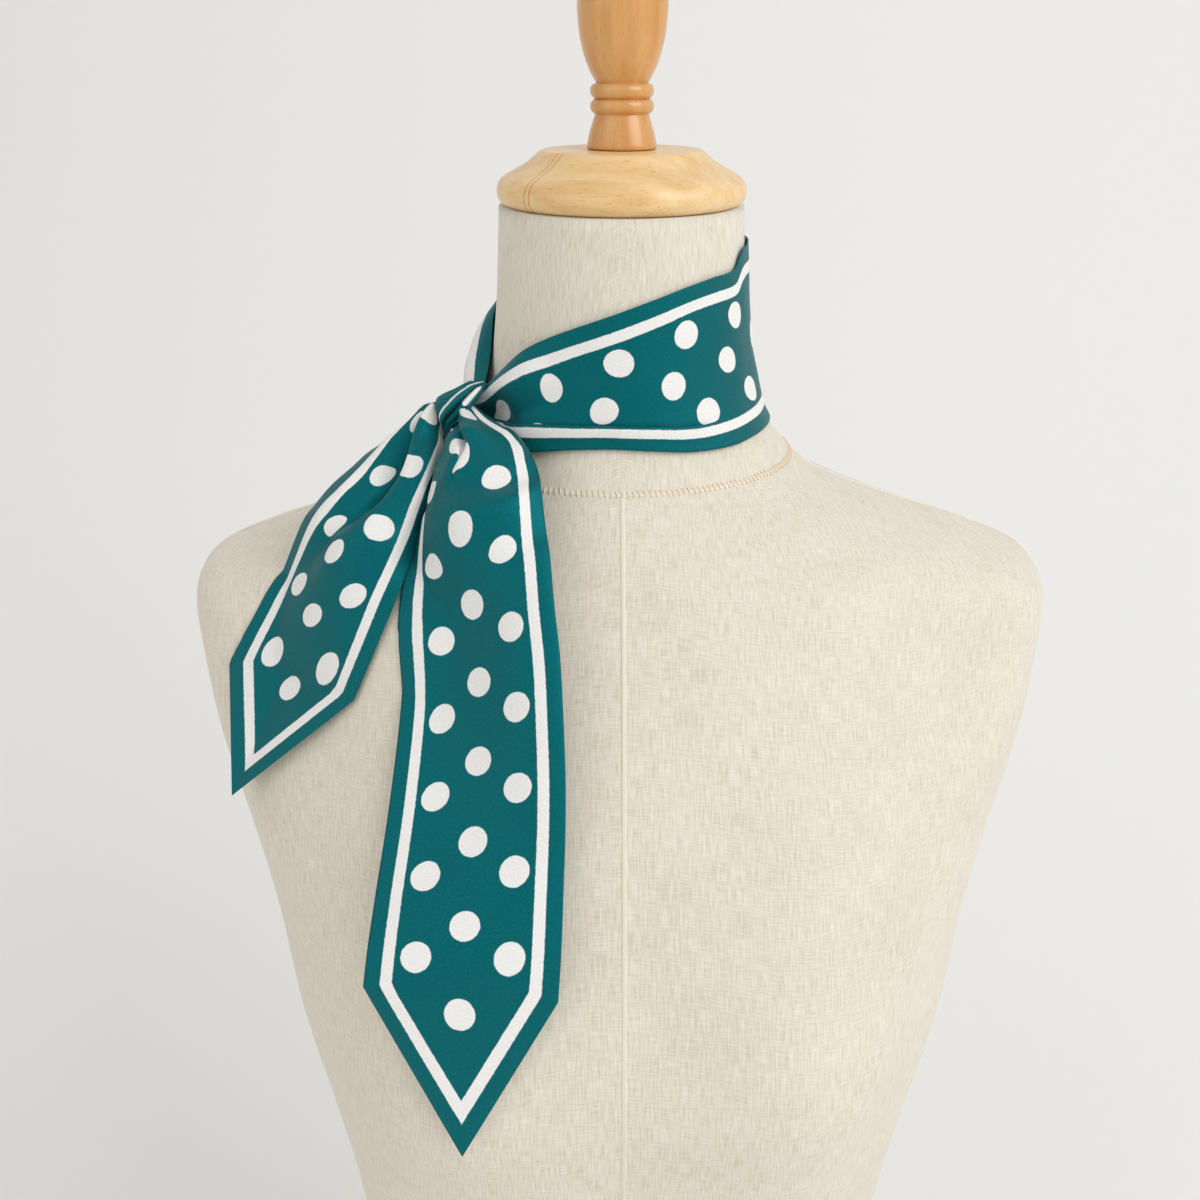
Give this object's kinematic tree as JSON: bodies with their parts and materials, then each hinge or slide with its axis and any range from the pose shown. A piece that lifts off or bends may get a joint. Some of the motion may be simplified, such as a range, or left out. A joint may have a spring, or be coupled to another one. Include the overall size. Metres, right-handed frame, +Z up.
{
  "type": "skinny silk scarf on a limbless dress form",
  "caption": "Skinny dotted silk scarf with pointed ends, wound once round the neck of a linen dress form and tied at its side.",
  "frame": {"origin": "centre of the underside of the form's base board", "axes": "+Z up, the form faces -Y, and the knot is on the -X side of the neck"},
  "size_m": [0.388, 0.2617, 0.8212],
  "materials": {
    "silk": "satin",
    "linen": "matte",
    "cap_wood": "satin",
    "finial_wood": "satin"
  },
  "bodies": {
    "root": {"form_torso": "linen", "form_base_board": "cap_wood", "form_neck_cap": "cap_wood", "form_finial": "finial_wood", "scarf_neck_band": "silk", "scarf_return_stretch": "silk", "scarf_knot_core": "silk", "scarf_knot_wrap": "silk", "scarf_front_tail": "silk", "scarf_side_tail": "silk"}
  },
  "joints": []
}
